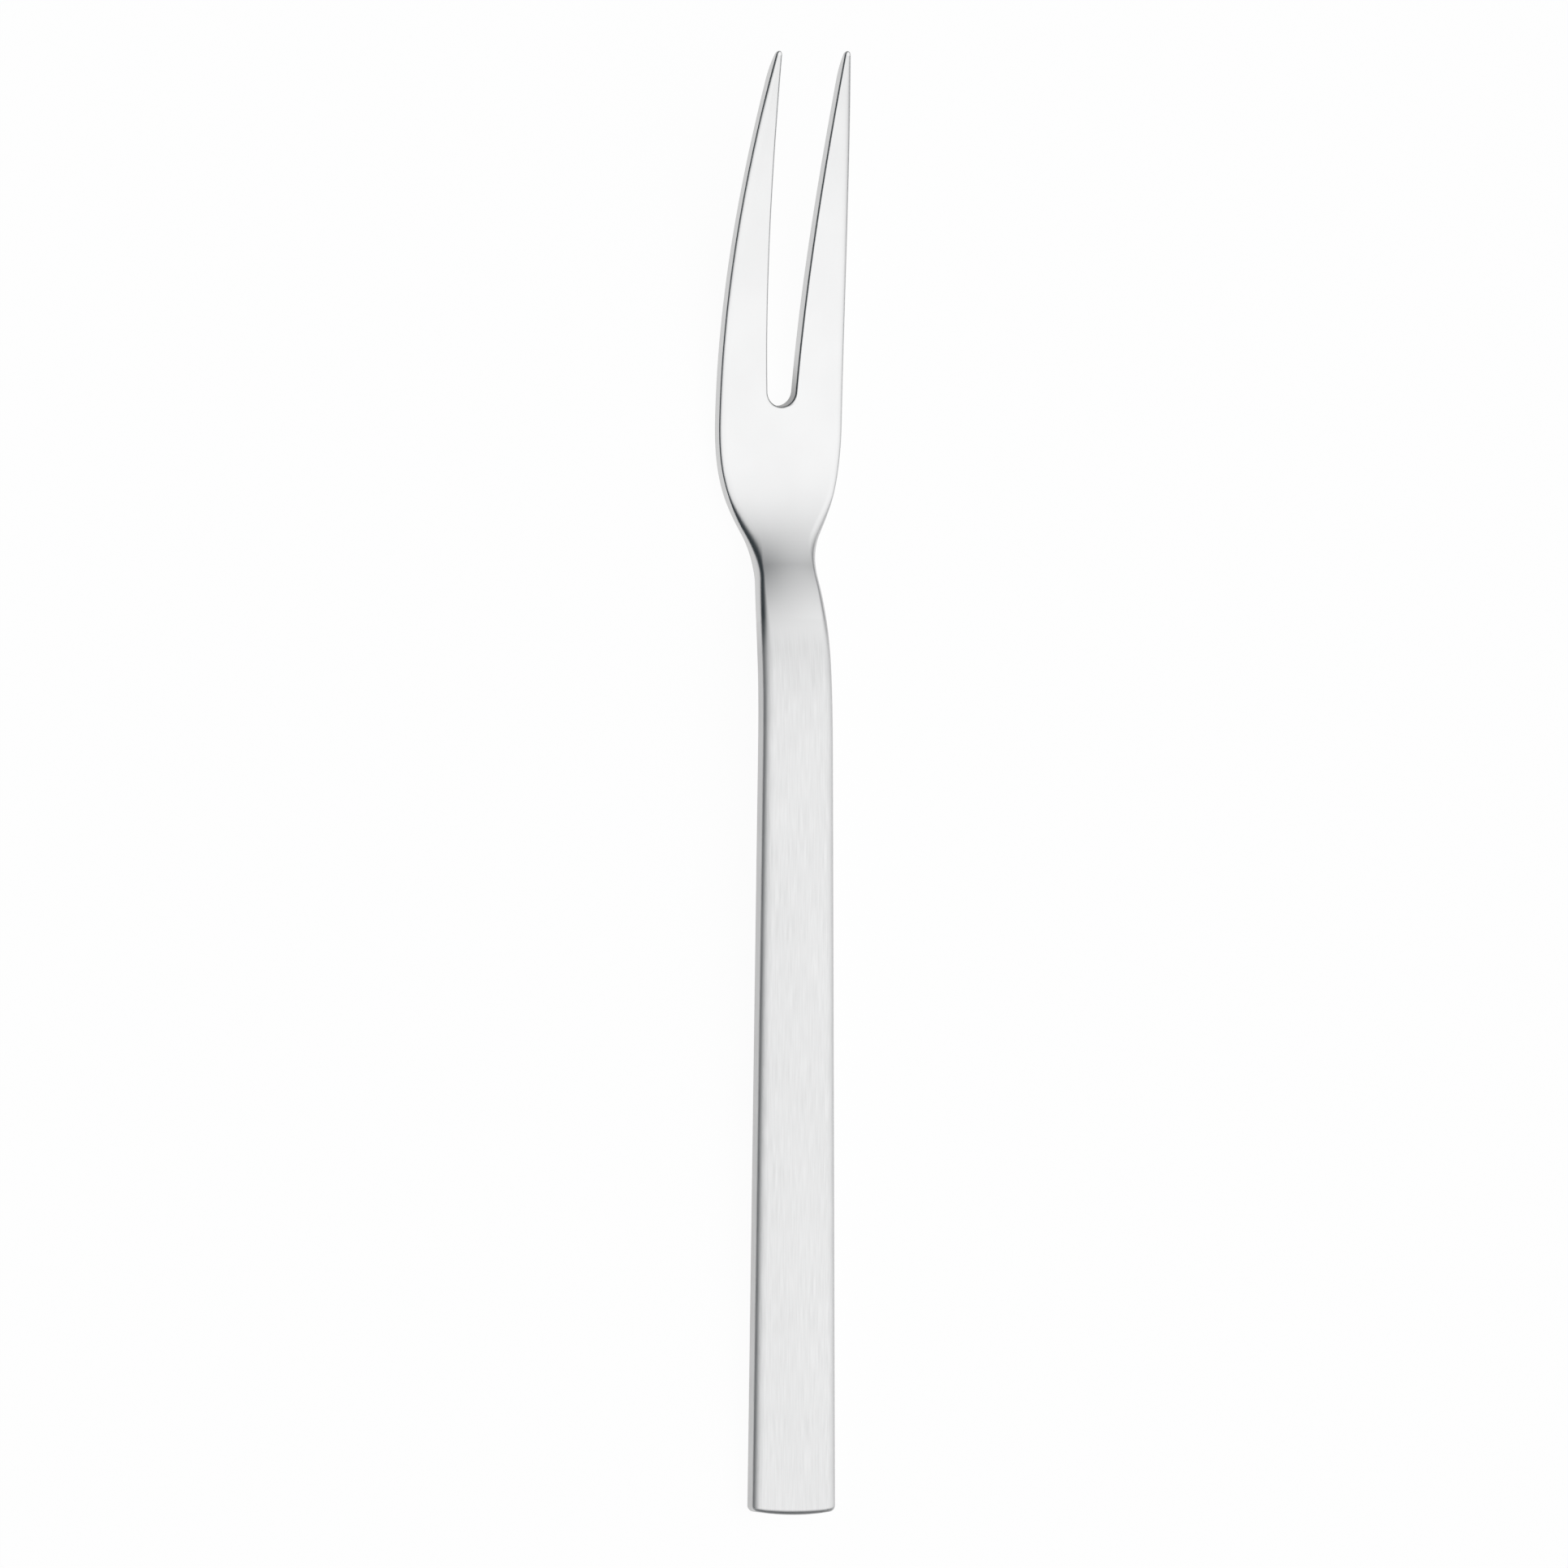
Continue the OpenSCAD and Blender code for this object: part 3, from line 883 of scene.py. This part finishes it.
class MEATFORK_OT_handle(bpy.types.Operator):
    """Build the satin handle with its bowed end"""

    bl_idname = "meat_fork.handle"
    bl_label = "Handle"

    def execute(self, context):
        build(context, "handle", "satin_steel", handle_rows, rounded_start=True)
        return {"FINISHED"}


class MEATFORK_OT_neck(bpy.types.Operator):
    """Build the bright neck that falls to the head"""

    bl_idname = "meat_fork.neck"
    bl_label = "Neck"

    def execute(self, context):
        build(context, "neck", "bright_steel", neck_rows)
        return {"FINISHED"}


class MEATFORK_OT_head_root(bpy.types.Operator):
    """Build the root of the head with the round bottom of the slot"""

    bl_idname = "meat_fork.head_root"
    bl_label = "Head Root"

    def execute(self, context):
        build(context, "head_root", "bright_steel", head_rows)
        return {"FINISHED"}


class MEATFORK_OT_tines(bpy.types.Operator):
    """Build the two tapering tines"""

    bl_idname = "meat_fork.tines"
    bl_label = "Tines"

    def execute(self, context):
        for node, hand in (("left_tine", -1), ("right_tine", 1)):
            build(context, node, "bright_steel", lambda form: tine_rows(form, hand), rounded_end=True)
        return {"FINISHED"}


def add_floor(stage):
    """A pale square floor that is lit from below, so that it shows next to no shadow."""
    half = stage.floor_side / 2
    mesh = bpy.data.meshes.new("floor")
    corners = [(-half, -half, 0), (half, -half, 0), (half, half, 0), (-half, half, 0)]
    mesh.from_pydata(corners, [], [(0, 1, 2, 3)])
    material, nodes = new_material("pale_floor")
    shader = nodes.add(
        "ShaderNodeBsdfPrincipled",
        {
            "Base Color": (*(part * (1 - stage.floor_glow) for part in stage.floor_colour), 1),
            "Roughness": stage.floor_roughness,
            "Specular IOR Level": 0.0,
            "Emission Color": (*stage.floor_colour, 1),
            "Emission Strength": stage.floor_glow,
        },
    )
    nodes.add("ShaderNodeOutputMaterial", {"Surface": shader.outputs["BSDF"]})
    mesh.materials.append(material)
    floor = bpy.data.objects.new("floor", mesh)
    bpy.context.scene.collection.objects.link(floor)


def add_light(stage):
    """A soft light overhead that fades on each side to the dark round it, before a pale backdrop."""
    world = bpy.data.worlds.new("studio")
    world.use_nodes = True
    bpy.context.scene.world = world
    nodes = Nodes(world.node_tree)
    way = nodes.add("ShaderNodeTexCoord").outputs["Generated"]
    parts = nodes.add("ShaderNodeSeparateXYZ", {"Vector": way}).outputs
    right = nodes.math("ARCTAN2", parts["X"], parts["Z"])
    back = nodes.math("ARCTAN2", parts["Y"], parts["Z"])
    most = stage.skew_to * stage.back_skew
    further = nodes.ramp(right, -stage.skew_to, stage.skew_to, -most, most)
    skewed = nodes.math("SUBTRACT", back, further)
    glow = nodes.ramp(right, -stage.left_from, -stage.left_to, stage.light, 0.0, smooth=True)
    for side, start, end in (
        (right, stage.right_from, stage.right_to),
        (back, -stage.front_from, -stage.front_to),
        (skewed, stage.back_from, stage.back_to),
    ):
        glow = nodes.math("MULTIPLY", glow, nodes.ramp(side, start, end, 1.0, 0.0, smooth=True))
    seen = nodes.add("ShaderNodeLightPath").outputs["Is Camera Ray"]
    lamp = nodes.add("ShaderNodeBackground", {"Color": (*stage.light_colour, 1), "Strength": glow})
    dusk = nodes.add("ShaderNodeBackground", {"Color": (*stage.dusk, 1), "Strength": 1.0})
    light_and_dusk = {0: lamp.outputs["Background"], 1: dusk.outputs["Background"]}
    light = nodes.add("ShaderNodeAddShader", light_and_dusk)
    backdrop = nodes.add("ShaderNodeBackground", {"Color": (*stage.floor_colour, 1), "Strength": 1.0})
    either = {0: seen, 1: light.outputs["Shader"], 2: backdrop.outputs["Background"]}
    both = nodes.add("ShaderNodeMixShader", either)
    nodes.add("ShaderNodeOutputWorld", {"Surface": both.outputs["Shader"]})


def add_camera(stage):
    """A long lens that looks down on the fork, from a little to its left."""
    lean, tilt = stage.view_across, stage.view_along
    right = Vector((math.cos(lean), -math.sin(tilt) * math.sin(lean), math.cos(tilt) * math.sin(lean)))
    up = Vector((0, math.cos(tilt), math.sin(tilt)))
    back = right.cross(up)
    data = bpy.data.cameras.new("camera")
    data.sensor_width = SENSOR
    data.lens = stage.lens
    distance = stage.view_width * stage.lens / SENSOR
    aim = right * stage.aim_across + up * stage.aim_along + back * stage.aim_height
    camera = bpy.data.objects.new("camera", data)
    turned = Matrix((right, up, back)).transposed().to_4x4()
    camera.matrix_world = Matrix.Translation(aim + back * distance) @ turned
    data.clip_start = distance / CLIP_RANGE
    data.clip_end = distance * CLIP_RANGE
    bpy.context.scene.collection.objects.link(camera)
    bpy.context.scene.camera = camera


class MEATFORK_OT_stage(bpy.types.Operator):
    """Set up the pale floor, the soft light and the camera"""

    bl_idname = "meat_fork.stage"
    bl_label = "Stage"

    def execute(self, context):
        stage = context.scene.meat_fork_stage
        add_floor(stage)
        add_light(stage)
        add_camera(stage)
        context.scene.view_settings.view_transform = "Standard"
        return {"FINISHED"}


OPERATORS = (
    MEATFORK_OT_handle,
    MEATFORK_OT_neck,
    MEATFORK_OT_head_root,
    MEATFORK_OT_tines,
    MEATFORK_OT_stage,
)
SETTINGS = {
    "meat_fork_sizes": MeatForkSizes,
    "meat_fork_finish": MeatForkFinish,
    "meat_fork_stage": MeatForkStage,
}


class VIEW3D_PT_meat_fork(bpy.types.Panel):
    """Buttons and settings of the fork"""

    bl_label = "Meat Fork"
    bl_space_type = "VIEW_3D"
    bl_region_type = "UI"
    bl_category = "Meat Fork"

    def draw(self, context):
        """Lists the operators and, below them, all settings."""
        for operator in OPERATORS:
            self.layout.operator(operator.bl_idname)
        for name, group in SETTINGS.items():
            box = self.layout.box()
            for key in group.__annotations__:
                box.prop(getattr(context.scene, name), key)


CLASSES = (*SETTINGS.values(), *OPERATORS, VIEW3D_PT_meat_fork)


def register():
    """Makes the classes known, and gives each scene its settings."""
    for kind in CLASSES:
        bpy.utils.register_class(kind)
    for name, group in SETTINGS.items():
        setattr(bpy.types.Scene, name, bpy.props.PointerProperty(type=group))


def unregister():
    """Takes the settings and the classes away again."""
    for name in SETTINGS:
        delattr(bpy.types.Scene, name)
    for kind in reversed(CLASSES):
        bpy.utils.unregister_class(kind)


def main():
    register()
    bpy.ops.meat_fork.handle()
    bpy.ops.meat_fork.neck()
    bpy.ops.meat_fork.head_root()
    bpy.ops.meat_fork.tines()
    bpy.ops.meat_fork.stage()


if __name__ == "__main__":
    main()
